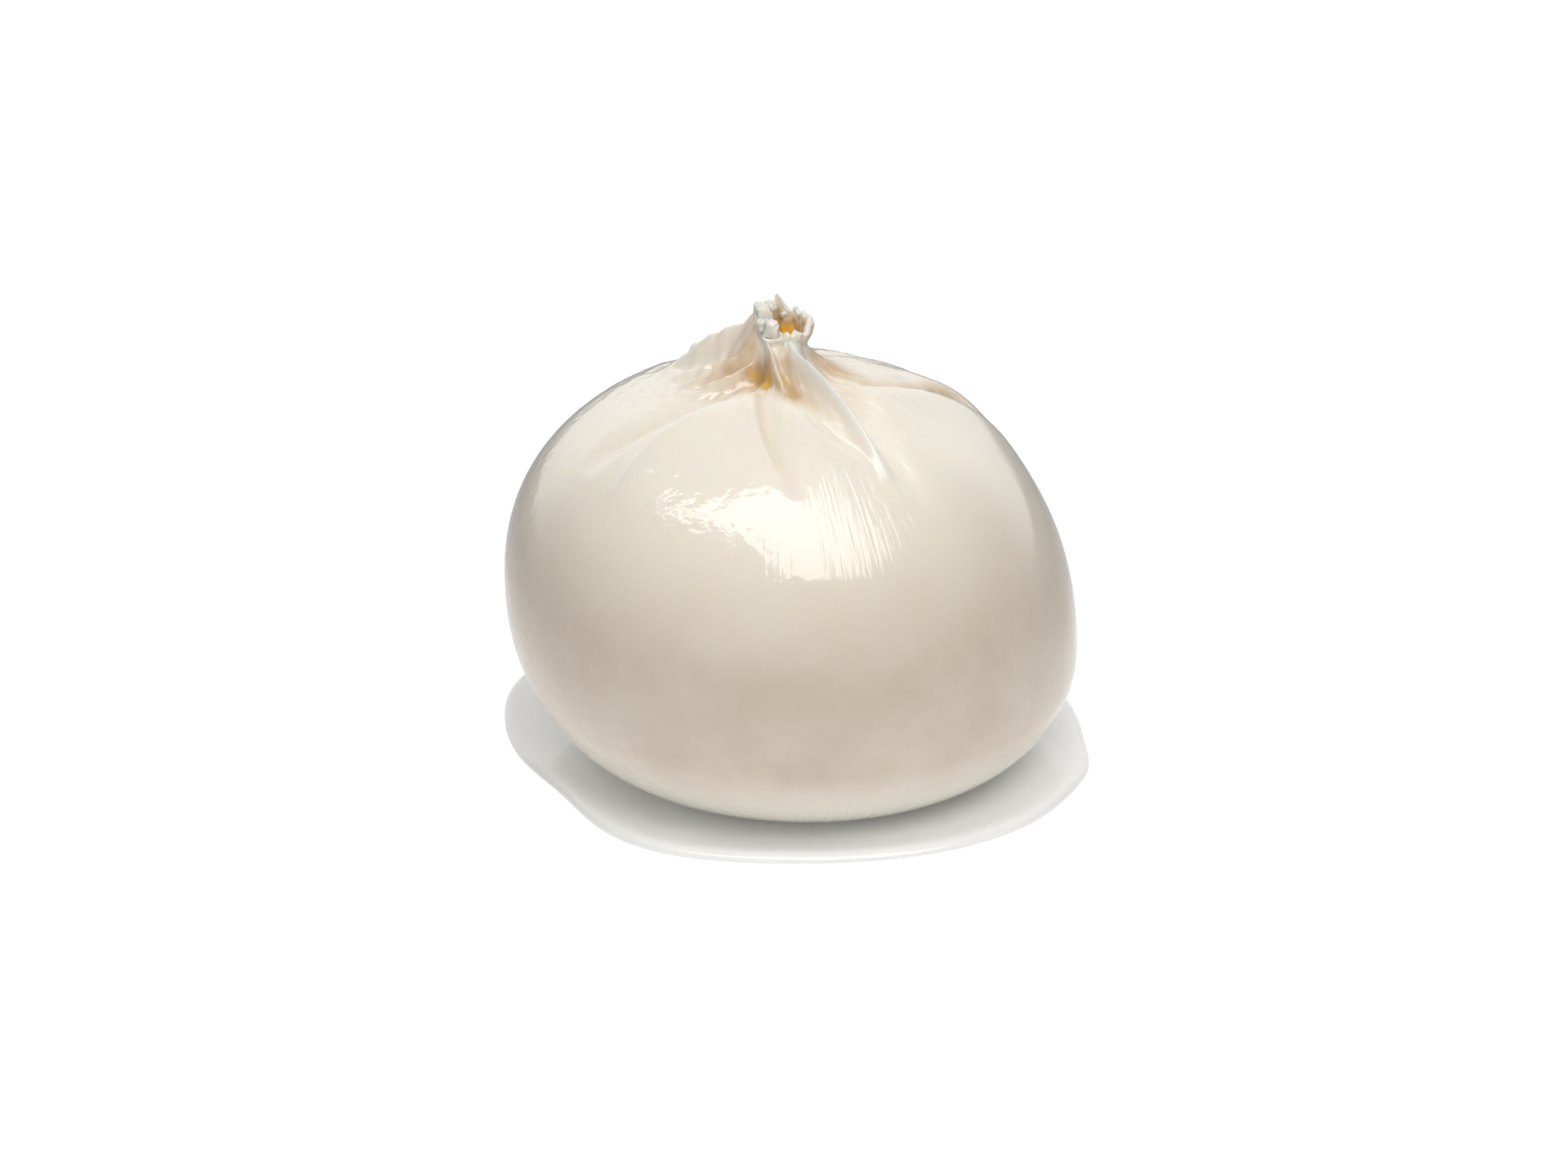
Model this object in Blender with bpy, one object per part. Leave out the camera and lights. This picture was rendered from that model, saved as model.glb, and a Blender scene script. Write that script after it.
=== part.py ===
"""Burrata: a pouch of stretched curd, gathered and pinched shut at the top, in its own drained whey.

Two sub-parts stand on one plane. The pouch is a sphere whose points are carried onto the shape of a
soft, full bag: a flat foot, a sagging belly, a domed shoulder drawn into folds, a neck and a torn cup
at the top. The whey is a flat pool round the foot. +Z is up and -Y is the front. The origin is on the
plane, under the middle of the belly. Directions round the pouch are angles from +X, towards +Y.
"""

import math
from typing import NamedTuple

import bmesh
import bpy
import numpy as np

# Driving sizes, in metres.
BELLY_RADIUS = 0.046
BELLY_HEIGHT = 0.0235
BELLY_LEAN = 0.0055
DOME_HEIGHT = 0.0644
FOOT_RADIUS = 0.0247
FOOT_SHIFT = 0.0021
NECK_SHIFT = -0.0015
NECK_FOOT_RADIUS = 0.0060
WAIST_RADIUS = 0.0040
WAIST_HEIGHT = 0.0694
CUP_RADIUS = 0.0046
CUP_FLOOR_HEIGHT = 0.0693
RIM_HEIGHT = 0.0737
WALL = 0.0010
POOL_HALF_WIDTH = 0.0476
POOL_HALF_DEPTH = 0.0436
POOL_THICKNESS = 0.0012
POOL_EDGE_ROUND = 0.0003
GAP = 0.0003

# The powers of the superellipses: 2 is a true ellipse, and more is squarer.
DOME_POWER = 2.2
POOL_POWER = 2.3

# How finely the solids are faceted. The rings run from the foot's middle to the cup's floor.
TURN_STEPS = 104
FOOT_RINGS = 2
BELLY_RINGS = 7
DOME_RINGS = 19
NECK_RINGS = 6
CUP_RINGS = 4
POOL_STEPS = 72


class Fold(NamedTuple):
    """One ridge of the shoulder, or a groove where its height is below 0, running out from the neck.

    near and far are where it starts and ends, in mm from the neck's axis, and start and end are its
    directions there, in degrees. With a bend over 1 it turns soon after it starts. The height is in
    mm at its tallest. A rise of 0 makes it tallest at the neck, and a larger fall makes it sink
    sooner. The flanks' widths are in mm, the clockwise one first. A low sharpness gives a crease.
    """

    near: float
    far: float
    start: float
    end: float
    height: float
    flanks: tuple
    bend: float = 1.0
    rise: float = 1.0
    fall: float = 1.0
    sharpness: float = 2.0


FOLDS = {
    "front_flap": Fold(4.6, 29.2, -75, -56, 5.0, (1.7, 1.3), bend=8, rise=0, fall=0.75, sharpness=1.3),
    "in_front_flap": Fold(5, 13.5, -90, -69, -1.2, (1.8, 2.0), fall=0.9),
    "under_front_flap": Fold(13, 28.5, -78, -57, -0.9, (1.8, 1.5), bend=1.6),
    "beside_front_flap": Fold(4, 34, -14, -51, -1.9, (1.6, 2.6), bend=3),
    "short_flap": Fold(4.2, 10.5, -127, -89, 4.5, (1.0, 1.2), bend=2.6, rise=0, fall=1.4, sharpness=1.5),
    "front_groove": Fold(5.5, 31, -111, -86, -1.8, (1.2, 1.7), bend=1.1, sharpness=1.4),
    "left_lobe": Fold(7, 37, -104, -139, 1.8, (1.2, 6.0), bend=3, sharpness=1.6),
    "behind_left_lobe": Fold(6, 35, -138, -153, -1.5, (3.4, 1.6), bend=2),
    "left_tent": Fold(4.6, 21.5, 164, 155, 9.2, (3.0, 2.8), rise=0, fall=1.1, sharpness=1.8),
    "left_pleat": Fold(4.3, 15.5, 208, 201, 5.2, (2.6, 2.0), rise=0, fall=1.2, sharpness=1.8),
    "right_lobe": Fold(8, 41, -38, 17, 1.6, (6.0, 1.2), bend=1.9, sharpness=1.5),
    "pocket": Fold(12, 38, -11, 23, -2.8, (1.4, 3.0), bend=1.4),
    "behind_pocket": Fold(20, 43, 27, 31, 1.3, (4.0, 5.0)),
    "back_tent": Fold(4, 27, 98, 82, 4.2, (1.6, 2.6), rise=0, fall=1.2, sharpness=1.4),
    "back_pleat": Fold(5, 26, 40, 29, 1.6, (1.2, 2.4), bend=2),
    "back_groove": Fold(4, 31, 64, 54, -1.8, (1.6, 1.8), bend=2),
    "back_left_groove": Fold(5, 31, 128, 131, -1.9, (1.8, 2.0)),
}


def clear_scene():
    """Removes every object, so that only the cheese is left."""
    for thing in list(bpy.data.objects):
        bpy.data.objects.remove(thing, do_unlink=True)


def new_collection(name):
    """A collection linked to the scene."""
    made = bpy.data.collections.new(name)
    bpy.context.scene.collection.children.link(made)
    return made


def surface_material(name, colour, roughness):
    """A Principled BSDF with one colour and roughness."""
    made = bpy.data.materials.new(name)
    made.use_nodes = True
    shader = made.node_tree.nodes["Principled BSDF"]
    shader.inputs["Base Color"].default_value = (*colour, 1.0)
    shader.inputs["Roughness"].default_value = roughness
    return made


def angle_between(turn, degrees):
    """The signed angle in radians from a direction to each turn, within half a turn."""
    return (turn - np.radians(degrees) + math.pi) % (2 * math.pi) - math.pi


def bell(turn, degrees, width):
    """1 in one direction, falling off smoothly on both sides over a width in degrees."""
    return np.exp(-((angle_between(turn, degrees) / math.radians(width)) ** 2))


def fold_height(fold, distance, turn):
    """The height of one fold in mm, at a distance in mm and a direction from the neck's axis."""
    share = np.clip((distance - fold.near) / (fold.far - fold.near), 0.0, 1.0)
    direction = fold.start + (fold.end - fold.start) * (1 - (1 - share) ** fold.bend)
    powers = fold.rise + fold.fall
    tallest = fold.rise**fold.rise * fold.fall**fold.fall / powers**powers
    along = share**fold.rise * (1 - share) ** fold.fall / tallest
    aside = distance * angle_between(turn, direction)
    flank = np.where(aside < 0, *fold.flanks)
    return fold.height * along * np.exp(-((np.abs(aside) / flank) ** fold.sharpness))


def fold_relief(distance, turn):
    """How far all the folds lift the shoulder, in metres."""
    return sum(fold_height(fold, distance * 1000, turn) for fold in FOLDS.values()) / 1000


def belly_height(turn):
    """The height of the widest ring: the bag sags lower towards +X."""
    return BELLY_HEIGHT - BELLY_LEAN * np.cos(turn)


def foot_radius(turn):
    """The edge of the flat foot from the belly's axis: the bag stands a little towards +X."""
    return FOOT_RADIUS + FOOT_SHIFT * np.cos(turn)


def rim_height(turn):
    """The torn rim of the cup: low in front, high at the back, with one pointed tatter."""
    tilt = 0.0015 * np.sin(turn) - 0.0008 * np.cos(turn)
    ragged = 0.0003 * np.sin(7 * turn + 0.6)
    return RIM_HEIGHT + tilt + ragged + 0.0009 * bell(turn, 104, 13)


def waist_height(turn):
    """The pinch under the cup, which stands higher where the tent, the back and the flap climb to it."""
    tent, back, flap = bell(turn, 168, 30), bell(turn, 110, 35), bell(turn, 282, 25)
    return WAIST_HEIGHT + 0.0040 * tent + 0.0008 * back + 0.0017 * flap


def fluting(turn):
    """How the gathered skin runs in and out round the neck, as a share of its radius."""
    return 1 + 0.08 * np.cos(5 * turn + 0.8) + 0.04 * np.cos(9 * turn)


def spline(points, share):
    """A Catmull-Rom curve through rows of (radius, height), share running from 0 to 1."""
    spans = len(points) - 1
    at = min(int(share * spans), spans - 1)
    t = share * spans - at
    a = points[max(at - 1, 0)]
    b, c = points[at], points[at + 1]
    d = points[min(at + 2, spans)]
    return 0.5 * (2 * b + (c - a) * t + (2 * a - 5 * b + 4 * c - d) * t**2 + (3 * b - a - 3 * c + d) * t**3)


def belly_profile(turn, angle):
    """Radius and height of the sagging side, a quarter ellipse from the foot to the widest ring."""
    foot = foot_radius(turn)
    radius = foot + (BELLY_RADIUS - foot) * np.sin(angle)
    return np.array([radius, belly_height(turn) * (1 - np.cos(angle))])


def dome_profile(turn, angle):
    """Radius and height of the shoulder, a superellipse from the widest ring in towards the neck."""
    widest = belly_height(turn)
    radius = BELLY_RADIUS * np.cos(angle) ** (2 / DOME_POWER) + 0 * turn
    return np.array([radius, widest + (DOME_HEIGHT - widest) * np.sin(angle) ** (2 / DOME_POWER)])


def neck_profile(turn, share):
    """The pinched neck, from the folds on the dome up to the rim of the cup."""
    rim, flute, level = rim_height(turn), fluting(turn), 0 * turn
    foot = dome_profile(turn, DOME_LAST_ANGLE)
    foot[1] += fold_relief(foot[0], turn)
    waist = np.array([WAIST_RADIUS * flute, waist_height(turn)])
    swell = np.array([CUP_RADIUS * flute, (waist_height(turn) + rim) / 2])
    lip = np.array([CUP_RADIUS + level, rim])
    return spline([foot, waist, swell, lip], share)


def cup_profile(turn, share):
    """Down inside the cup, from the rim to the middle of its floor."""
    rim, level = rim_height(turn), 0 * turn
    inside = CUP_RADIUS - WALL
    lip = np.array([CUP_RADIUS + level, rim])
    inner_lip = np.array([inside + level, rim - WALL / 2])
    side = np.array([0.72 * inside + level, CUP_FLOOR_HEIGHT + 0.2 * (rim - CUP_FLOOR_HEIGHT)])
    floor = np.array([level, CUP_FLOOR_HEIGHT + level])
    return spline([lip, inner_lip, side, floor], share)


def ring(profile, turn, shift, lift=0.0):
    """A ring's points from its radius and height, moved sideways and lifted."""
    radius, height = profile
    return np.stack([shift + radius * np.cos(turn), radius * np.sin(turn), height + lift], axis=-1)


def pouch_rings(turn):
    """Every ring of the pouch, from the foot up and then down into the cup."""
    rings = []
    for i in range(1, FOOT_RINGS + 1):
        flat = np.array([foot_radius(turn) * i / FOOT_RINGS, 0 * turn])
        rings.append(ring(flat, turn, 0.0))
    for i in range(1, BELLY_RINGS + 1):
        rings.append(ring(belly_profile(turn, math.pi / 2 * i / BELLY_RINGS), turn, 0.0))
    for i in range(1, DOME_RINGS + 1):
        angle = DOME_LAST_ANGLE * i / DOME_RINGS
        dome = dome_profile(turn, angle)
        rings.append(ring(dome, turn, NECK_SHIFT * math.sin(angle), fold_relief(dome[0], turn)))
    for i in range(1, NECK_RINGS + 1):
        rings.append(ring(neck_profile(turn, i / NECK_RINGS), turn, NECK_SHIFT))
    for i in range(1, CUP_RINGS + 1):
        rings.append(ring(cup_profile(turn, i / (CUP_RINGS + 1)), turn, NECK_SHIFT))
    return rings


def make_pouch(collection, material):
    """A sphere whose rings are carried onto the pouch's own."""
    turn = np.arange(TURN_STEPS) * 2 * math.pi / TURN_STEPS
    rings = pouch_rings(turn)
    bm = bmesh.new()
    bmesh.ops.create_uvsphere(bm, u_segments=TURN_STEPS, v_segments=len(rings) + 1, radius=1.0)
    for vertex in bm.verts:
        latitude = math.asin(max(-1.0, min(1.0, vertex.co.z)))
        level = round((0.5 + latitude / math.pi) * (len(rings) + 1))
        step = round(math.atan2(vertex.co.y, vertex.co.x) / (2 * math.pi) * TURN_STEPS) % TURN_STEPS
        if level == 0:
            vertex.co = (0.0, 0.0, 0.0)
        elif level > len(rings):
            vertex.co = (NECK_SHIFT, 0.0, CUP_FLOOR_HEIGHT)
        else:
            vertex.co = rings[level - 1][step]
    bmesh.ops.recalc_face_normals(bm, faces=bm.faces)
    mesh = bpy.data.meshes.new("burrata_pouch")
    bm.to_mesh(mesh)
    bm.free()
    mesh.shade_smooth()
    mesh.materials.append(material)
    collection.objects.link(bpy.data.objects.new("burrata_pouch", mesh))


def pool_outline(turn):
    """The pool's edge: a superellipse with a bay in front on the left and a lobe behind it."""
    across = np.abs(np.cos(turn) / POOL_HALF_WIDTH) ** POOL_POWER
    along = np.abs(np.sin(turn) / POOL_HALF_DEPTH) ** POOL_POWER
    bay = -0.0066 * bell(turn, -152, 24)
    lobe = 0.0030 * bell(turn, 150, 17) + 0.0010 * bell(turn, -12, 9)
    return (across + along) ** (-1 / POOL_POWER) + bay + lobe


def pool_hole(turn):
    """Just outside the pouch, where its side passes the pool's top."""
    angle = np.arccos(1 - POOL_THICKNESS / belly_height(turn))
    return belly_profile(turn, angle)[0] + GAP


def add_loop(curve, radius, turn):
    """A closed straight-sided spline at a radius in every direction."""
    loop = curve.splines.new("POLY")
    loop.points.add(len(turn) - 1)
    corners = np.stack([radius * np.cos(turn), radius * np.sin(turn), 0 * turn, 1 + 0 * turn], axis=-1)
    loop.points.foreach_set("co", corners.ravel())
    loop.use_cyclic_u = True


def make_pool(collection, material):
    """A flat curve with a hole for the pouch, thickened, with its edges rounded."""
    turn = np.arange(POOL_STEPS) * 2 * math.pi / POOL_STEPS
    curve = bpy.data.curves.new("whey_pool", "CURVE")
    curve.dimensions = "2D"
    curve.fill_mode = "BOTH"
    curve.extrude = POOL_THICKNESS / 2 - POOL_EDGE_ROUND
    curve.bevel_depth = POOL_EDGE_ROUND
    curve.bevel_resolution = 1
    curve.offset = -POOL_EDGE_ROUND
    add_loop(curve, pool_outline(turn), turn)
    add_loop(curve, pool_hole(turn), turn)
    curve.materials.append(material)
    made = bpy.data.objects.new("whey_pool", curve)
    made.location = (0.0, 0.0, POOL_THICKNESS / 2)
    collection.objects.link(made)


# The dome stops, and the neck starts, where the dome has come in to the neck's foot.
DOME_LAST_ANGLE = math.acos((NECK_FOOT_RADIUS / BELLY_RADIUS) ** (DOME_POWER / 2))

clear_scene()
burrata = new_collection("burrata")
curd = surface_material("curd", (0.86, 0.80, 0.69), 0.22)
whey = surface_material("whey", (0.80, 0.81, 0.77), 0.08)
make_pouch(burrata, curd)
make_pool(burrata, whey)
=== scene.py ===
"""A burrata on a pale studio floor: a pouch of stretched curd pinched shut at the top, in its own whey.

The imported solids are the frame. The pouch's solid is replaced by a fine skin with its folds, fibres
and torn knot, with clots of curd inside the knot, and the whey's solid by a wet, milky pool. Lengths
in the shape functions are in millimetres, and each mesh is written in metres. Directions round the
pouch are in degrees from +X towards +Y, and -90 is the front.
"""

import math

import bpy
import numpy as np
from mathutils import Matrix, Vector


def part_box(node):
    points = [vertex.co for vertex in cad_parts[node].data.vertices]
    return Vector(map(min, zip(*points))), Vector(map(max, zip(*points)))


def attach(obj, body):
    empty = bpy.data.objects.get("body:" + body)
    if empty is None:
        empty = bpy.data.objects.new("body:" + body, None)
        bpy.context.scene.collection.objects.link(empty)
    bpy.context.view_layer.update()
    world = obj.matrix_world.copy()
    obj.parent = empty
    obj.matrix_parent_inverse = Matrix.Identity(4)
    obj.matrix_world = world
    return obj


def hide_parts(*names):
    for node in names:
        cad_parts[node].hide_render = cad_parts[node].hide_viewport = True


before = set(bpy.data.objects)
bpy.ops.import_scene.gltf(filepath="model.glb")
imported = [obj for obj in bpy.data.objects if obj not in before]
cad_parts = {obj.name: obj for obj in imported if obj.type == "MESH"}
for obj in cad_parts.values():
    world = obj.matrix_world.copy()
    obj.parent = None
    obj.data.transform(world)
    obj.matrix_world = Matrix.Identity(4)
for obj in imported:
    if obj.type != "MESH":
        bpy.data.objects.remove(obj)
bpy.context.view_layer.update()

# ---------------------------------------------------------------------------------------------
# The pouch's skin. A sheet of hot curd is drawn round the filling like a bag, gathered by hand at
# the top and pinched off. So it hangs full at the belly, sits flat on its foot, and runs up over
# the shoulder in folds that meet at the neck, where the torn end stands open as a small cup.
# ---------------------------------------------------------------------------------------------

MM = 0.001
pouch_low, pouch_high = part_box("burrata_pouch")
BELLY_RADIUS = (pouch_high.y - pouch_low.y) / 2 / MM
BELLY_HEIGHT = 23.5
BELLY_LEAN = 5.5
DOME_HEIGHT = 64.4
DOME_POWER = 2.2
FOOT_RADIUS = 24.7
FOOT_SHIFT = 2.1
NECK_SHIFT = -1.5
CUP_FLOOR_HEIGHT = 69.3
LEAN_WIDTH = 0.9
PLEAT_REACH = 11.0
DENT_DEPTH = 0.22
LUMP_DEPTH = 0.09

COLUMNS = 470
FOOT_ROWS = 4
BELLY_ROWS = 28
SIDE_ROWS = 16
SHOULDER_ROWS = 64
NECK_ROWS = 48
CUP_ROWS = 20
LIP_ROWS = 8
INSIDE_ROWS = 20
SIDE_END, SHOULDER_END = 38.0, 13.0


def angle_from(turn, degrees):
    """The signed angle in radians from a direction in degrees to each turn, within half a turn."""
    return (turn - np.radians(degrees) + math.pi) % (2 * math.pi) - math.pi


def bell(turn, degrees, width):
    """1 in one direction, falling off as a bell curve over a width in degrees."""
    return np.exp(-((angle_from(turn, degrees) / math.radians(width)) ** 2))


def smooth_step(low, high, value):
    """0 up to low, 1 from high on, and 3t^2 - 2t^3 between them, or falling where low is above high."""
    t = np.clip((value - low) / (high - low), 0, 1)
    return t * t * (3 - 2 * t)


def catmull_rom(a, b, c, d, t):
    """The cubic from b to c whose slopes there are (c - a) / 2 and (d - b) / 2."""
    return b + 0.5 * t * (c - a + t * (2 * a - 5 * b + 4 * c - d + t * (3 * b - a - 3 * c + d)))


def around(pairs, turn):
    """A closed Catmull-Rom curve through (direction, value) pairs, read at each turn."""
    degrees, values = (np.array(column, float) for column in zip(*pairs))
    at = np.degrees(turn) % 360
    low = (np.searchsorted(degrees, at, side="right") - 1) % len(degrees)
    steps = [(low + offset) % len(degrees) for offset in (-1, 0, 1, 2)]
    span = (degrees[steps[2]] - degrees[steps[1]]) % 360
    return catmull_rom(*(values[step] for step in steps), ((at - degrees[steps[1]]) % 360) / span)


def fold(
    distance, turn, near, far, start, end, height, flanks, bend=1, rise=1, fall=1, sharp=2, lean=0
):
    """One ridge running out from the neck, or a groove where height is below 0: its lift and shift.

    Along it, from near to far, the lift is share^rise * (1 - share)^fall, scaled so that its top is
    the height given. Its direction goes from start to end as 1 - (1 - share)^bend. Across it, the lift
    falls as exp(-(aside / flank)^sharp), with one flank clockwise and the other anticlockwise. The
    shift moves the crest sideways by lean, anticlockwise where it is above 0, so that the ridge rolls
    over like a lip, and it dies out as a bell curve of LEAN_WIDTH.
    """
    share = np.clip((distance - near) / (far - near), 0, 1)
    direction = start + (end - start) * (1 - (1 - share) ** bend)
    top = rise**rise * fall**fall / (rise + fall) ** (rise + fall)
    along = share**rise * (1 - share) ** fall / top
    aside = distance * angle_from(turn, direction)
    flank = np.where(aside < 0, *flanks)
    lift = height * along * np.exp(-((np.abs(aside) / flank) ** sharp))
    return np.array([lift, lean * along * np.exp(-((aside / LEAN_WIDTH) ** 2))])


def wrinkles(distance, turn, seed, waves, sway):
    """Fine pleats: a sum of cosines of the turn, whose phases drift as the distance grows."""
    chance = np.random.default_rng(seed)
    total = 0 * turn
    for count in waves:
        phase, drift, slow = chance.uniform(0, 2 * math.pi, 3)
        drifting = sway * np.sin(distance / 9 + drift) * np.cos(turn + slow)
        total = total + np.cos(count * turn + phase + drifting)
    return total / math.sqrt(len(waves))


def shoulder_folds(distance, turn):
    """The lift and shift of all the shoulder's folds, as a sum of ridges and grooves."""

    def ridge(*sizes, **more):
        return fold(distance, turn, *sizes, **more)

    return (
        # The flap that runs down from the knot to the front right: a hollow face under a rolled lip.
        ridge(4.6, 29.2, -75, -56, 5.0, (1.6, 1.1), bend=8, rise=0, fall=0.75, sharp=1.1, lean=-0.65)
        + ridge(4.0, 29.4, -75, -56, 0.8, (1.2, 1.0), bend=8, rise=0, fall=0.5, sharp=3)
        + ridge(13, 28.5, -78, -57, -0.9, (1.6, 1.3), bend=1.6)
        + ridge(5, 13.5, -90, -69, -0.6, (1.8, 2.0), rise=1.5, fall=1.5)
        # The bulge below the hollow.
        + ridge(8, 29, -88, -72, 0.9, (3.4, 2.4), rise=1.5, fall=2.2)
        # The short flap beside it, whose edge hangs over the pit under the knot.
        + ridge(4.2, 10.5, -127, -89, 6.0, (0.6, 0.9), bend=2.6, rise=0, fall=1.4, sharp=1.5, lean=-0.5)
        # The hollow on the far side of the flap.
        + ridge(4, 34, -14, -51, -1.9, (1.6, 2.6), bend=3)
        # The swelling on the left of the pit, the groove that runs down from the pit, and its low bank.
        + ridge(3.5, 11, -122, -128, 1.4, (2.0, 1.8), rise=0)
        + ridge(5.5, 31, -111, -86, -1.8, (1.1, 1.7), bend=1.1, sharp=1.4)
        + ridge(8, 28, -117, -92, 0.5, (1.0, 0.7), bend=1.1)
        # The lobe to the front left, and the hollow behind its edge.
        + ridge(7, 37, -104, -139, 1.8, (0.9, 6.0), bend=3, sharp=1.6, lean=-0.5)
        + ridge(6, 35, -138, -153, -1.5, (3.4, 1.2), bend=2.0)
        # The bunched pleats that climb to the knot from the left.
        + ridge(4.6, 21.5, 164, 155, 9.2, (3.0, 2.8), rise=0, fall=1.1, sharp=1.8)
        + ridge(4.3, 15.5, 208, 201, 5.2, (2.6, 2.0), rise=0, fall=1.2, sharp=1.8)
        + ridge(4.5, 19, 188, 172, 1.3, (0.8, 1.1), lean=-0.2)
        + ridge(4.0, 17, 204, 184, 1.2, (0.7, 1.0), lean=-0.3)
        + ridge(4.0, 14, 226, 199, 1.0, (0.6, 0.8), lean=-0.3)
        + ridge(5.0, 19, 178, 162, -1.2, (0.7, 0.8))
        + ridge(5.0, 15, 214, 192, -0.9, (0.6, 0.7))
        + ridge(7, 16, 150, 157, 1.2, (1.3, 1.5), lean=0.3)
        + ridge(14.6, 16.4, 157, 156, 0.9, (0.4, 0.4))
        # The lobe to the right, the pocket behind its edge, and the rise behind the pocket.
        + ridge(8, 41, -38, 17, 1.6, (6.0, 0.8), bend=1.9, sharp=1.5, lean=0.6)
        + ridge(12, 38, -11, 23, -2.8, (1.2, 3.0), bend=1.4)
        + ridge(21, 43, 24, 29, 1.4, (3.6, 4.4))
        # The back, which repeats the same kinds of fold.
        + ridge(4, 27, 98, 82, 4.2, (1.4, 2.6), rise=0, fall=1.2, sharp=1.3, lean=-0.5)
        + ridge(4, 31, 64, 54, -1.8, (1.4, 1.8), bend=2)
        + ridge(5, 31, 128, 131, -1.9, (1.8, 2.0))
        + ridge(8, 34, 106, 114, 1.0, (3.0, 1.0), lean=0.3)
        + ridge(5, 26, 40, 29, 0.4, (1.2, 2.4), bend=2, lean=-0.3)
    )


def fine_relief(distance, turn):
    """Small wrinkles and lumps that fade as exp(-distance / PLEAT_REACH), over slow dents."""
    fan = wrinkles(distance, turn, 3, (37, 46, 53, 61, 74, 88), 7)
    coarse = wrinkles(distance, turn, 5, (13, 17, 22, 27), 3)
    slow = wrinkles(distance, turn, 8, (2, 3, 5), 2)
    reach = np.exp(-distance / PLEAT_REACH) * smooth_step(3, 6, distance)
    x, y = distance * np.cos(turn), distance * np.sin(turn)
    lumps = np.sin(1.9 * x + 0.9 * y + 1.0) * np.sin(1.6 * y - 0.7 * x)
    lumps = lumps + np.sin(1.1 * x - 1.3 * y + 2.0)
    bunched = bell(turn, 180, 42) + 0.5 * bell(turn, 60, 60)
    pleats = 0.10 * fan + 0.28 * coarse + 0.42 * lumps * bunched
    return pleats * reach + DENT_DEPTH * slow * smooth_step(46, 34, distance)


def belly_height(turn):
    """The height of the widest ring, which sags lower towards +X as a cosine of the turn."""
    return BELLY_HEIGHT - BELLY_LEAN * np.cos(turn)


def dome_height(radius, turn):
    """A superellipse from the widest ring up to the dome's top."""
    widest = belly_height(turn)
    share = (1 - (radius / BELLY_RADIUS) ** DOME_POWER) ** (1 / DOME_POWER)
    return widest + (DOME_HEIGHT - widest) * share


def rim_height(turn):
    """The torn rim: a Catmull-Rom curve through the tatters' tops and feet, with a fine sum of cosines."""
    right_wall = [(2, 73.6), (17, 73.8), (30, 74.1), (43, 73.7), (53, 73.6)]
    back = [(60, 74.3), (68, 73.8), (82, 74.5), (93, 75.7), (104, 76.1), (111, 74.9), (124, 75.0)]
    left_wall = [(136, 75.5), (150, 75.5), (172, 75.2), (186, 74.2), (199, 73.0), (218, 71.5)]
    front = [(236, 71.2), (252, 71.4), (268, 71.9), (279, 72.7), (289, 72.2), (299, 72.8), (313, 72.2)]
    front_right = [(332, 72.0), (348, 72.9)]
    tears = right_wall + back + left_wall + front + front_right
    return around(tears, turn) + 0.03 * wrinkles(0 * turn, turn, 12, (17, 25), 0)


def rim_radius(turn):
    """How far out the rim stands: the right wall is rolled outwards, and cosines flute the back."""
    reach = [
        (0, 4.75), (40, 4.6), (75, 4.3), (100, 4.2), (130, 4.4), (165, 4.25),
        (200, 4.1), (230, 4.3), (262, 4.3), (280, 4.5), (300, 4.5), (330, 4.6),
    ]
    flute = 0.20 * np.cos(6 * turn + 1.0) + 0.12 * np.cos(11 * turn) + 0.06 * np.cos(17 * turn)
    return around(reach, turn) + flute * bell(turn, 90, 80)


def wall_thickness(turn):
    """The torn wall, uneven as a sum of cosines: thick where it rolls over at the right and the front
    right, and thin at the front left.
    """
    uneven = 0.16 * np.cos(7 * turn + 2.0) + 0.10 * np.cos(12 * turn)
    rolled = 0.4 * bell(turn, 10, 40) + 0.3 * bell(turn, -70, 30)
    return 0.85 + uneven + rolled - 0.2 * bell(turn, -135, 35)


def waist_height(turn):
    """Where the gathered skin turns up into the cup: higher under the folds that climb to the knot."""
    heights = [
        (0, 69.3), (45, 69.2), (90, 70.2), (130, 71.0), (163, 73.9), (190, 72.6),
        (212, 70.4), (238, 70.0), (262, 70.4), (281, 71.3), (305, 70.6), (332, 69.6),
    ]
    return around(heights, turn)


def waist_radius(turn):
    """The pinch: drawn in at the right and the back, filled up by the folds in front and at the left."""
    reach = [
        (0, 3.8), (45, 3.7), (90, 3.8), (130, 4.0), (165, 4.6), (190, 4.5),
        (215, 4.2), (240, 4.1), (262, 4.3), (281, 4.6), (305, 4.4), (332, 3.9),
    ]
    return around(reach, turn) + 0.08 * np.cos(8 * turn + 2.0) + 0.06 * np.cos(13 * turn)


def shoulder_rows(distance, turn):
    """The dome with its folds, flaring up to the waist as exp(-distance / reach), and the folds' shift."""
    waist = waist_radius(turn)

    def plain(radius):
        lift, shift = shoulder_folds(radius, turn)
        return dome_height(radius, turn) + lift + fine_relief(radius, turn), shift

    reach = 1.5 + 1.4 * bell(turn, 15, 50) + 0.9 * bell(turn, 110, 50) + 1.0 * bell(turn, -118, 22)
    height, shift = plain(distance)
    missing = waist_height(turn) - plain(waist)[0]
    return height + missing * np.exp(-(distance - waist) / reach), shift


def spline_rows(points, count):
    """Catmull-Rom curves through (radius, height) arrays: count rows of the grid, without the first."""
    spans = len(points) - 1
    rows = []
    for step in range(1, count + 1):
        at = min(step * spans // count, spans - 1)
        corners = (points[min(max(at + offset, 0), spans)] for offset in (-1, 0, 1, 2))
        rows.append(catmull_rom(*corners, step * spans / count - at))
    return rows


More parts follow.
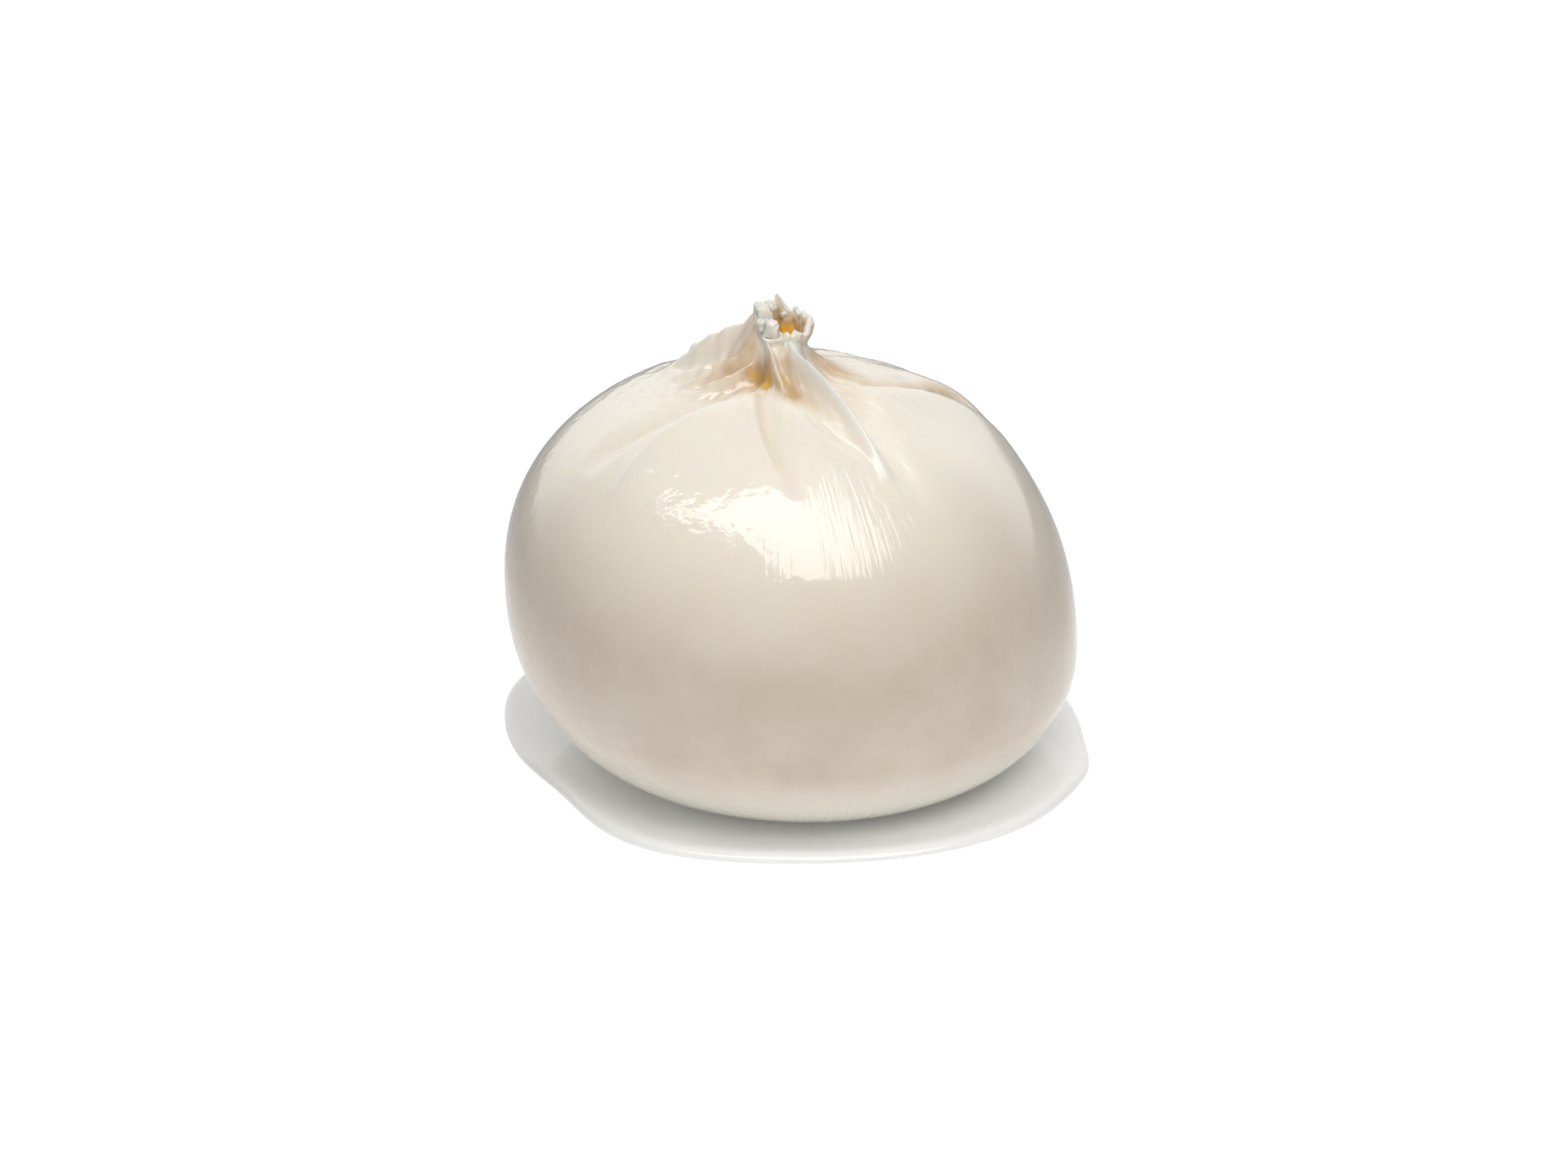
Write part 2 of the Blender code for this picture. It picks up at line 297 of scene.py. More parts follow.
def cup_rows(turn):
    """The torn cup: up its outside from the waist, over the lip and down inside to the floor, as
    Catmull-Rom curves. Its radius is lumpy as a sum of sines of the turn and the height.
    """
    waist, rim, wide, wall = waist_height(turn), rim_height(turn), rim_radius(turn), wall_thickness(turn)
    depth = rim - CUP_FLOOR_HEIGHT
    start = np.array([waist_radius(turn), waist])
    swell_radius = 0.35 * waist_radius(turn) + 0.65 * wide + 0.25 * bell(turn, 0, 40)
    swell = np.array([swell_radius, 0.45 * waist + 0.55 * rim])
    lip_out = np.array([wide, rim - 0.45 * wall])
    lip_top = np.array([wide - wall / 2, rim])
    lip_in = np.array([wide - wall, rim - 0.5 * wall])
    side = np.array([0.98 * (wide - wall), CUP_FLOOR_HEIGHT + 0.5 * depth])
    low = np.array([0.72 * (wide - wall), CUP_FLOOR_HEIGHT + 0.08 * depth])
    floor = np.array([0.02 * wide, CUP_FLOOR_HEIGHT + 0 * turn])
    outside = spline_rows([start, swell, lip_out], CUP_ROWS)
    lip = spline_rows([lip_out, lip_top, lip_in], LIP_ROWS)
    rows = outside + lip + spline_rows([lip_in, side, low, floor], INSIDE_ROWS)
    for i, (radius, height) in enumerate(rows):
        lumps = np.sin(7 * turn + 1.5 * height) * np.sin(2.1 * height + 2 * turn)
        lumps = lumps + np.sin(15 * turn - 2.6 * height + 1)
        radius += LUMP_DEPTH * lumps * math.sin(math.pi * (i + 1) / len(rows)) ** 0.5
    return rows


def pouch_rows(turn):
    """Every row of the skin as radius, height, shift along the row and shift of the row's middle."""
    foot = FOOT_RADIUS + FOOT_SHIFT * np.cos(turn)
    still = 0 * turn
    rows = [(foot * (i + 1) / FOOT_ROWS, still, still, still) for i in range(FOOT_ROWS)]
    for i in range(1, BELLY_ROWS + 1):
        angle = math.pi / 2 * i / BELLY_ROWS
        height = belly_height(turn) * (1 - math.cos(angle))
        rows.append((foot + (BELLY_RADIUS - foot) * math.sin(angle), height, still, still))
    side_angle = math.acos((SIDE_END / BELLY_RADIUS) ** (DOME_POWER / 2))
    steps = np.arange(1, SIDE_ROWS + 1) / SIDE_ROWS
    side = BELLY_RADIUS * np.cos(side_angle * steps) ** (2 / DOME_POWER)
    shoulder = np.linspace(SIDE_END, SHOULDER_END, SHOULDER_ROWS + 1)[1:]
    inward = np.arange(1, NECK_ROWS + 1) / NECK_ROWS
    radii = [radius + still for radius in (*side, *shoulder)]
    radii += [SHOULDER_END + (waist_radius(turn) - SHOULDER_END) * share for share in inward]
    for radius in radii:
        height, shift = shoulder_rows(radius, turn)
        middle = NECK_SHIFT * np.sqrt(1 - (radius / BELLY_RADIUS) ** DOME_POWER)
        rows.append((radius, height, shift, middle))
    last_shift = rows[-1][2]
    for i, (radius, height) in enumerate(cup_rows(turn)):
        fade = max(0.0, 1 - (i + 1) / (0.7 * CUP_ROWS))
        rows.append((radius, height, last_shift * fade, NECK_SHIFT + still))
    return rows


def closed_grid_mesh(name, points, bottom, top):
    """A mesh from a grid of points, joined round each row, with a fan to one point at each end."""
    row_count, column_count = points.shape[:2]
    vertices = np.concatenate([points.reshape(-1, 3), [bottom, top]])
    index = np.arange(row_count * column_count).reshape(row_count, column_count)
    beside = np.roll(index, -1, axis=1)
    quads = np.stack([index[:-1], beside[:-1], beside[1:], index[1:]], axis=-1).reshape(-1, 4)
    first = np.stack([beside[0], index[0], np.full(column_count, len(vertices) - 2)], axis=-1)
    last = np.stack([index[-1], beside[-1], np.full(column_count, len(vertices) - 1)], axis=-1)
    mesh = bpy.data.meshes.new(name)
    mesh.from_pydata(vertices.tolist(), [], quads.tolist() + first.tolist() + last.tolist())
    mesh.shade_smooth()
    return mesh


# The columns stand closer together in front, where the finest folds are.
even = np.arange(COLUMNS) * 2 * math.pi / COLUMNS
turn = even - 0.35 * np.sin(even - math.radians(-80))
radius, height, shift, middle = np.moveaxis(np.array(pouch_rows(turn)), 1, 0)
leaning = turn + shift / np.maximum(radius, 1)
skin_points = np.stack([middle + radius * np.cos(leaning), radius * np.sin(leaning), height], axis=-1) * MM
cup_middle = (NECK_SHIFT * MM, 0, CUP_FLOOR_HEIGHT * MM)
skin_mesh = closed_grid_mesh("pouch_skin", skin_points, (0, 0, 0), cup_middle)
pouch_skin = bpy.data.objects.new("pouch_skin", skin_mesh)
bpy.context.collection.objects.link(pouch_skin)
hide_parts("burrata_pouch")
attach(pouch_skin, "root")


def recess_painted_shade(distance, turn):
    """How much painted shade darkens the curd in the folds' hollows, where shade falls, from the same fold
    shapes.
    """

    def painted_shading(*sizes, **more):
        return fold(distance, turn, *sizes, **more)[0]

    return (
        # The flap's face, and the flap below it where it leaves the knot.
        painted_shading(5.2, 22, -84, -62, 0.35, (1.6, 0.9), bend=2.4, rise=0.2, fall=0.9)
        + painted_shading(5.0, 15, -96, -70, 1.0, (2.4, 1.8), rise=0.6, fall=1.1)
        # The pit, and the groove that runs down from it.
        + painted_shading(5.6, 8.2, -114, -108, 1.4, (0.8, 0.7), fall=0.6)
        + painted_shading(6, 30, -116, -87, 0.22, (0.9, 0.9), bend=1.25)
        # The front of the bunched pleats on the left.
        + painted_shading(4.4, 14, -146, -166, 0.75, (3.6, 3.4), rise=0.2, fall=0.8)
        + painted_shading(6, 24, -160, -176, 0.18, (3.0, 3.0), rise=0.6)
        + painted_shading(4.6, 11, -126, -138, 0.45, (1.4, 1.4), rise=0.3)
        # The far side of the flap, the foot of the knot on the right, and the pocket.
        + painted_shading(4.2, 18, -22, -42, 0.35, (3.0, 3.4), rise=0.2, fall=0.9)
        + painted_shading(4.4, 17, 14, -6, 0.85, (2.6, 2.6), rise=0.3, fall=0.9)
        + painted_shading(14, 36, -4, 28, 0.85, (1.8, 3.0), bend=1.4, rise=0.8)
        # The hollow behind the front left lobe, and the two grooves at the back.
        + painted_shading(6, 34, -140, -158, 0.15, (2.0, 1.2))
        + painted_shading(3.6, 22, 64, 58, 0.60, (1.8, 1.8), rise=0)
        + painted_shading(3.6, 22, 128, 131, 0.60, (1.8, 1.8), rise=0)
    )


# How far each row is up the cup, on its lip or inside it, each from 0 to 1.
row_count = len(radius)
level = np.arange(row_count)[:, None]
first_inside = row_count - INSIDE_ROWS
on_cup = np.clip((level - (first_inside - LIP_ROWS - CUP_ROWS)) / CUP_ROWS, 0, 1)
on_lip = np.clip(1 - np.abs(level - (first_inside - LIP_ROWS / 2)) / LIP_ROWS, 0, 1)
inside = np.clip((level - first_inside) / INSIDE_ROWS, 0, 1)

# The painted shade of each vertex: faint on the cup's outside, none on its lip, and deeper towards its
# floor.
outer_shade = recess_painted_shade(radius, turn) * (1 - on_cup) + on_cup * (0.15 + 0.4 * bell(turn, -15, 32))
back_shade = bell(turn, 85, 45) * smooth_step(0.15, 0.5, inside)
inner_shade = smooth_step(0, 0.3, inside) * (0.6 + 1.0 * inside + 0.6 * back_shade)
painted_shade = np.where(inside > 0, inner_shade, outer_shade * (1 - on_lip))

# Where the curd is thin and pale: the edges of three folds, and the back of the torn rim. On the
# folds' crests the paleness is also painted sheen, for their wet gloss.
flap_lip = fold(radius, turn, 4.0, 29.4, -75, -56, 1.0, (0.8, 0.7), bend=8, rise=0, fall=0.35, sharp=4)[0]
lobe_lip = fold(radius, turn, 7, 36, -104, -139, 0.5, (0.8, 0.6), bend=3, rise=0.5, sharp=3)[0]
short_lip = fold(radius, turn, 4.2, 10, -127, -89, 0.9, (0.5, 0.5), bend=2.6, rise=0, fall=0.5, sharp=3)[0]
lip_paleness = on_lip * (0.2 + 0.8 * bell(turn, 80, 75))
fold_paleness_and_sheen = (flap_lip + lobe_lip + short_lip) * (1 - on_cup)
paleness_and_sheen = np.clip(np.maximum(lip_paleness, fold_paleness_and_sheen), 0, 1)

# A place for the fibres' pattern, in mm: round the belly, and along the meridian, where it is drawn
# out FIBRE_STRETCH times.
FIBRE_STRETCH = 12
steps = np.linalg.norm(np.diff(skin_points, axis=0, prepend=skin_points[:1]), axis=-1) / MM
belly_x = BELLY_RADIUS * np.cos(turn) + 0 * radius
belly_y = BELLY_RADIUS * np.sin(turn) + 0 * radius
grain = np.stack([belly_x, belly_y, np.cumsum(steps, axis=0) / FIBRE_STRETCH], axis=-1)


def add_attribute(mesh, name, kind, values, ends):
    """Writes one value or vector for each vertex: the grid's, then the bottom's and the top's."""
    data_type, key, size = {"value": ("FLOAT", "value", 1), "vector": ("FLOAT_VECTOR", "vector", 3)}[kind]
    whole = np.concatenate([values.reshape(-1, size), np.array(ends, float).reshape(-1, size)])
    mesh.attributes.new(name, data_type, "POINT").data.foreach_set(key, whole.ravel())


add_attribute(skin_mesh, "painted_shade", "value", painted_shade, [0.0, painted_shade[-1].mean()])
add_attribute(skin_mesh, "paleness_and_sheen", "value", paleness_and_sheen, [0.0, 0.0])
add_attribute(skin_mesh, "grain", "vector", grain, [(0, 0, 0), grain[-1].mean(axis=0)])


def new_material(name):
    """A material with its node tree and its Principled shader."""
    made = bpy.data.materials.new(name)
    made.use_nodes = True
    return made, made.node_tree, made.node_tree.nodes["Principled BSDF"]


def add_node(tree, kind, inputs=None, **settings):
    """A node with its settings, and its inputs set to a value or linked from another node's socket."""
    node = tree.nodes.new("ShaderNode" + kind)
    for name, value in settings.items():
        setattr(node, name, value)
    for key, value in (inputs or {}).items():
        if isinstance(value, bpy.types.NodeSocket):
            tree.links.new(value, node.inputs[key])
        else:
            node.inputs[key].default_value = value
    return node


def mix_colour(tree, share, low, high):
    """Between two colours, or two sockets, by a share."""
    node = add_node(tree, "Mix", {"Factor": share, 6: low, 7: high}, data_type="RGBA")
    return node.outputs[2]


def map_range(tree, value, low, high, to_low=0.0, to_high=1.0):
    """A value carried from one range to another, held at both ends."""
    sizes = {"Value": value, "From Min": low, "From Max": high, "To Min": to_low, "To Max": to_high}
    return add_node(tree, "MapRange", sizes).outputs["Result"]


def noise(tree, vector, scale, detail=2.0, roughness=0.5):
    """Soft noise between 0 and 1, a cell being 1 / scale across."""
    sizes = {"Vector": vector, "Scale": scale, "Detail": detail, "Roughness": roughness}
    return add_node(tree, "TexNoise", sizes).outputs["Fac"]


def bump(tree, height, depth, under=None):
    """The surface's normal with a relief of a depth in metres, over another relief where one is given."""
    sizes = {"Height": height, "Strength": 1.0, "Distance": depth}
    if under:
        sizes["Normal"] = under
    return add_node(tree, "Bump", sizes).outputs["Normal"]


curd, tree, shader = new_material("stretched_curd")
place = add_node(tree, "TexCoord").outputs["Object"]
painted_shading = add_node(tree, "Attribute", attribute_name="painted_shade").outputs["Fac"]
pale = add_node(tree, "Attribute", attribute_name="paleness_and_sheen").outputs["Fac"]
fibre_place = add_node(tree, "Attribute", attribute_name="grain").outputs["Vector"]
rise = add_node(tree, "SeparateXYZ", {"Vector": place}).outputs["Z"]

# Painted light by height, at shares of the height RAMP_TOP in metres: pale by the whey for the light that
# it throws up, a darker, pinker beige at the belly for its shade, and lighter cream at the shoulder where
# the light falls. Then slow mottling, painted shade in the folds' hollows, and thin, pale places.
RAMP_TOP = 0.06
PAINTED_LIGHT_BY_HEIGHT = [
    (0.08, (0.88, 0.86, 0.77, 1)),
    (0.25, (0.67, 0.57, 0.465, 1)),
    (0.52, (0.70, 0.60, 0.49, 1)),
    (0.92, (0.93, 0.87, 0.76, 1)),
]
MOTTLE = (0.87, 0.83, 0.75, 1)
SHADE_TAN = (0.60, 0.42, 0.23, 1)
DEEP_SHADE_YELLOW = (0.76, 0.45, 0.06, 1)
THIN_CURD_AND_SHEEN = (0.94, 0.94, 0.91, 1)
ramp = add_node(tree, "ValToRGB", {"Fac": map_range(tree, rise, 0.0, RAMP_TOP)})
for _ in range(len(PAINTED_LIGHT_BY_HEIGHT) - len(ramp.color_ramp.elements)):
    ramp.color_ramp.elements.new(0.5)
for stop, (at, colour) in zip(ramp.color_ramp.elements, PAINTED_LIGHT_BY_HEIGHT):
    stop.position, stop.color = at, colour
body_colour = ramp.outputs["Color"]
mottle = map_range(tree, noise(tree, place, 95, 3.0), 0.35, 0.65, 0.0, 0.25)
body_colour = mix_colour(tree, mottle, body_colour, MOTTLE)
# Painted shade: the folds' hollows and the inside of the knot darkened to tan, and the deepest of them to
# yellow.
shade_noise = map_range(tree, noise(tree, place, 330, 3.0), 0.3, 0.7, 0.7, 1.25)
uneven_shade = add_node(tree, "Math", {0: painted_shading, 1: shade_noise}, operation="MULTIPLY").outputs[0]
body_colour = mix_colour(tree, map_range(tree, uneven_shade, 0, 1), body_colour, SHADE_TAN)
deepest_shade = map_range(tree, uneven_shade, 1.0, 1.5)
body_colour = mix_colour(tree, deepest_shade, body_colour, DEEP_SHADE_YELLOW)
# Thin, pale curd, and on the folds' crests painted sheen as well.
pale_share = map_range(tree, pale, 0.1, 1.0, 0.0, 0.75)
body_colour = mix_colour(tree, pale_share, body_colour, THIN_CURD_AND_SHEEN)
tree.links.new(body_colour, shader.inputs["Base Color"])

# The skin's relief: fibres drawn along the meridians, and fine pores.
fibres = noise(tree, fibre_place, 1.1, 3.0, 0.5)
pores = noise(tree, place, 900, 3.0, 0.55)
skin_normal = bump(tree, fibres, 0.00002, bump(tree, pores, 0.00003))

# The wet film over it is blotchy on the left and streaked along the fibres on the right, smoothest at
# the far right, and rougher on the pale edges. Its depths are in metres.
blotches = noise(tree, place, 620, 2.0, 0.5)
streaks = noise(tree, fibre_place, 1.2, 2.0, 0.5)
across = add_node(tree, "SeparateXYZ", {"Vector": place}).outputs["X"]
film = mix_colour(tree, map_range(tree, across, -0.008, 0.004), blotches, streaks)
to_streaks = map_range(tree, across, -0.006, 0.004, 0.00013, 0.00017)
to_smooth = map_range(tree, across, 0.012, 0.026, 0.0, 0.00013)
on_edges = map_range(tree, pale, 0.3, 1.0, 0.0, 0.00014)
film_depth = add_node(tree, "Math", {0: to_streaks, 1: to_smooth}, operation="SUBTRACT").outputs[0]
film_depth = add_node(tree, "Math", {0: film_depth, 1: on_edges}, operation="MAXIMUM").outputs[0]
film_normal = bump(tree, film, film_depth)
tree.links.new(skin_normal, shader.inputs["Normal"])
tree.links.new(film_normal, shader.inputs["Coat Normal"])
shader.inputs["Roughness"].default_value = 0.45
shader.inputs["Specular IOR Level"].default_value = 0.2
shader.inputs["Coat Weight"].default_value = 1.0
shader.inputs["Coat Roughness"].default_value = 0.02
shader.inputs["Coat IOR"].default_value = 1.6
shader.inputs["Subsurface Weight"].default_value = 0.35
shader.inputs["Subsurface Radius"].default_value = (1.0, 0.62, 0.36)
shader.inputs["Subsurface Scale"].default_value = 0.0025
skin_mesh.materials.append(curd)

# ---------------------------------------------------------------------------------------------
# The clots inside the knot: lumps of clear, set curd that tore off the sheet as it was pinched,
# and stuck to the cup's left wall, its back wall and its floor.
# ---------------------------------------------------------------------------------------------

CLOT_COLUMNS, CLOT_ROWS = 40, 24
CLOTS = [
    # middle in mm, half sizes in mm, spin and tilt in degrees, power: 2 is round, more is blockier
    ((-4.4, -0.2, 73.8), (1.2, 1.1, 1.6), (20, 8), 3.2),
    ((-3.4, -2.0, 72.2), (1.3, 1.0, 1.5), (-12, -6), 4.5),
    ((-4.9, 1.7, 74.2), (1.0, 1.2, 1.2), (50, 12), 3.0),
    ((-4.6, -1.7, 72.9), (1.0, 0.9, 1.0), (40, 15), 3.0),
    ((-3.6, 3.1, 74.3), (1.0, 0.8, 0.9), (-30, 10), 2.8),
    ((-1.4, 3.1, 73.0), (0.55, 0.5, 0.35), (25, 25), 2.8),
    ((-2.4, 0.4, 70.0), (1.3, 1.1, 0.9), (0, 0), 2.5),
]


def clot_points(middle, half_sizes, angles, power):
    """A superellipsoid: cos and sin of latitude and longitude, each raised to 2 / power, scaled by a sum
    of sines that makes it lumpy, then tilted about Y and spun about Z.
    """
    around_it = np.arange(CLOT_COLUMNS) * 2 * math.pi / CLOT_COLUMNS
    up = (np.arange(1, CLOT_ROWS) / CLOT_ROWS - 0.5)[:, None] * math.pi

    def bent(value):
        return np.sign(value) * np.abs(value) ** (2 / power)

    ring = bent(np.cos(up))
    x, y = ring * bent(np.cos(around_it)), ring * bent(np.sin(around_it))
    z = bent(np.sin(up)) + 0 * around_it
    lumps = 1 + 0.10 * np.sin(3 * x + 2 * z) + 0.08 * np.sin(5 * y + middle[2])
    lumps = lumps + 0.05 * np.sin(9 * x - 7 * z + middle[0])
    shape = (np.stack([x, y, z], axis=-1) * lumps[..., None]).reshape(-1, 3)
    shape = np.concatenate([shape, [(0, 0, -1), (0, 0, 1)]]) * half_sizes
    spin, tilt = np.radians(angles)
    tilting = [[math.cos(tilt), 0, math.sin(tilt)], [0, 1, 0], [-math.sin(tilt), 0, math.cos(tilt)]]
    spinning = [[math.cos(spin), math.sin(spin), 0], [-math.sin(spin), math.cos(spin), 0], [0, 0, 1]]
    return shape @ np.array(tilting) @ np.array(spinning) + middle


def clot_faces(offset):
    """The quads between a clot's rows and the fans at its two ends, counted from its first vertex."""
    index = np.arange((CLOT_ROWS - 1) * CLOT_COLUMNS).reshape(-1, CLOT_COLUMNS)
    beside = np.roll(index, -1, axis=1)
    quads = np.stack([index[:-1], beside[:-1], beside[1:], index[1:]], axis=-1).reshape(-1, 4)
    bottom, top = index.size + np.zeros((2, CLOT_COLUMNS), int) + [[0], [1]]
    first = np.stack([beside[0], index[0], bottom], axis=-1)
    last = np.stack([index[-1], beside[-1], top], axis=-1)
    return [face for faces in (quads, first, last) for face in (faces + offset).tolist()]


clot_shapes = [clot_points(*clot) for clot in CLOTS]
clots_mesh = bpy.data.meshes.new("knot_clots")
clots_faces = [face for i, shape in enumerate(clot_shapes) for face in clot_faces(i * len(shape))]
clots_mesh.from_pydata((np.concatenate(clot_shapes) * MM).tolist(), [], clots_faces)
clots_mesh.shade_smooth()
knot_clots = bpy.data.objects.new("knot_clots", clots_mesh)
bpy.context.collection.objects.link(knot_clots)
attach(knot_clots, "root")

clear_curd, tree, shader = new_material("clear_curd")
place = add_node(tree, "TexCoord").outputs["Object"]
CLOUDY, CLEAR = (0.82, 0.78, 0.69, 1), (0.92, 0.90, 0.85, 1)
cloud = map_range(tree, noise(tree, place, 1100, 2.0), 0.35, 0.65)
tree.links.new(mix_colour(tree, cloud, CLOUDY, CLEAR), shader.inputs["Base Color"])
tree.links.new(bump(tree, noise(tree, place, 1800, 2.0), 0.00006), shader.inputs["Normal"])
shader.inputs["Roughness"].default_value = 0.12
shader.inputs["Subsurface Weight"].default_value = 0.6
shader.inputs["Subsurface Radius"].default_value = (1.0, 0.75, 0.5)
shader.inputs["Subsurface Scale"].default_value = 0.0012
clots_mesh.materials.append(clear_curd)

# ---------------------------------------------------------------------------------------------
# The whey: a thin, milky pool that has drained from the pouch and lies round its foot. Its edge
# stands up in a round bead, and inside the bead its top lies a little lower.
# ---------------------------------------------------------------------------------------------

pool_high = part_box("whey_pool")[1]
POOL_HALF_WIDTH = 47.6
POOL_HALF_DEPTH = 43.6
POOL_POWER = 2.3
POOL_THICKNESS = pool_high.z / MM
POOL_COLUMNS = 300
POOL_ROWS = 48
INNER_EDGE = 30.0
EDGE_ROUND = 1.6
POOL_SINK = 0.35
POOL_FIT = 0.998


def pool_edge(turn):
    """The pool's outline: a superellipse with a bay in front on the left and a lobe behind it.

    It is scaled by POOL_FIT, so that it stays inside the straight sides of the solid it replaces.
    """
    across = np.abs(np.cos(turn) / POOL_HALF_WIDTH) ** POOL_POWER
    along = np.abs(np.sin(turn) / POOL_HALF_DEPTH) ** POOL_POWER
    bay = -6.6 * bell(turn, -152, 24)
    lobe = 3.0 * bell(turn, 150, 17) + 1.0 * bell(turn, -12, 9)
    return POOL_FIT * ((across + along) ** (-1 / POOL_POWER) + bay + lobe)


# The bead is a quarter ellipse, EDGE_ROUND across and as high as the pool is thick.
pool_turn = np.arange(POOL_COLUMNS) * 2 * math.pi / POOL_COLUMNS
edge = pool_edge(pool_turn)
out = np.linspace(0, 1, POOL_ROWS)[:, None]
pool_radius = INNER_EDGE + (edge - INNER_EDGE) * np.sin(out * math.pi / 2) ** 0.9
near_edge = np.clip((edge - pool_radius) / EDGE_ROUND, 0, 1)
sunk = POOL_SINK * smooth_step(1.5, 6.0, edge - pool_radius)
pool_height = (POOL_THICKNESS - sunk) * np.sqrt(1 - (1 - near_edge) ** 2)
pool_x, pool_y = pool_radius * np.cos(pool_turn), pool_radius * np.sin(pool_turn)
top_rows = np.stack([pool_x, pool_y, pool_height], axis=-1)
under_rows = top_rows[::-1] * (1, 1, 0)
ring_points = np.concatenate([top_rows, under_rows[1:]]) * MM


def closed_ring_mesh(name, points):
    """A mesh from a grid of points, joined round each row and from the last row to the first."""
    row_count, column_count = points.shape[:2]
    index = np.arange(row_count * column_count).reshape(row_count, column_count)
    beside, above = np.roll(index, -1, axis=1), np.roll(index, -1, axis=0)
    corner = np.roll(above, -1, axis=1)
    quads = np.stack([index, above, corner, beside], axis=-1).reshape(-1, 4)
    mesh = bpy.data.meshes.new(name)
    mesh.from_pydata(points.reshape(-1, 3).tolist(), [], quads.tolist())
    mesh.shade_smooth()
    return mesh


whey_mesh = closed_ring_mesh("whey", ring_points)
whey = bpy.data.objects.new("whey", whey_mesh)
bpy.context.collection.objects.link(whey)
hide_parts("whey_pool")
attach(whey, "root")

milky, tree, shader = new_material("milky_whey")
place = add_node(tree, "TexCoord").outputs["Object"]
THIN_WHEY, MILKY_WHEY = (0.93, 0.94, 0.91, 1), (0.97, 0.97, 0.96, 1)
cloud = map_range(tree, noise(tree, place, 70, 3.0), 0.35, 0.65)
tree.links.new(mix_colour(tree, cloud, THIN_WHEY, MILKY_WHEY), shader.inputs["Base Color"])
tree.links.new(bump(tree, noise(tree, place, 120, 2.0), 0.00008), shader.inputs["Normal"])
shader.inputs["Roughness"].default_value = 0.06
shader.inputs["IOR"].default_value = 1.35
shader.inputs["Coat Weight"].default_value = 0.5
shader.inputs["Coat Roughness"].default_value = 0.03
shader.inputs["Subsurface Weight"].default_value = 0.6
shader.inputs["Subsurface Radius"].default_value = (1.0, 0.95, 0.85)
shader.inputs["Subsurface Scale"].default_value = 0.006
whey_mesh.materials.append(milky)

# ---------------------------------------------------------------------------------------------
# The studio: a white floor that runs out of sight, one soft panel of light above and in front, and
# a white surround that is bright behind the cheese, dim in front of it and darkest at its sides.
# ---------------------------------------------------------------------------------------------

FLOOR_REACH = 3.0
FLOOR_DROP = 0.0002
floor_mesh = bpy.data.meshes.new("floor")
corners = [(x * FLOOR_REACH, y * FLOOR_REACH, 0) for x, y in ((-1, -1), (1, -1), (1, 1), (-1, 1))]
floor_mesh.from_pydata(corners, [], [(0, 1, 2, 3)])
floor = bpy.data.objects.new("floor", floor_mesh)
floor.location.z = -FLOOR_DROP
bpy.context.collection.objects.link(floor)

# Seen directly, the floor is plain white. The light that it throws back falls off with the distance in
# metres, as it would round a small white sheet. Near the cheese the floor also glows, though it is no
# lamp, as a hidden fill light on the cheese's underside, and this glow falls off with the distance too.
NEAR_WHITE, FAR_GREY = (0.85, 0.85, 0.85, 1), (0.30, 0.30, 0.30, 1)
white, tree, shader = new_material("white_floor")
seen = add_node(tree, "LightPath").outputs["Is Camera Ray"]
place = add_node(tree, "TexCoord").outputs["Object"]
ground = add_node(tree, "VectorMath", {0: place}, operation="LENGTH").outputs["Value"]
falling = map_range(tree, ground, 0.08, 0.22)
tree.links.new(mix_colour(tree, falling, NEAR_WHITE, FAR_GREY), shader.inputs["Base Color"])
shader.inputs["Roughness"].default_value = 0.7
shader.inputs["Specular IOR Level"].default_value = 0.2
shader.inputs["Emission Color"].default_value = (1, 1, 1, 1)
# A glow round the cheese, though the floor is no lamp: a hidden fill light from below.
floor_fill_glow = map_range(tree, ground, 0.065, 0.12, 0.26, 0.0)
seen_glow = map_range(tree, seen, 0, 1, 0, 0.9)
glow = add_node(tree, "Math", {0: seen_glow, 1: floor_fill_glow}, operation="MAXIMUM").outputs[0]
tree.links.new(glow, shader.inputs["Emission Strength"])
floor_mesh.materials.append(white)

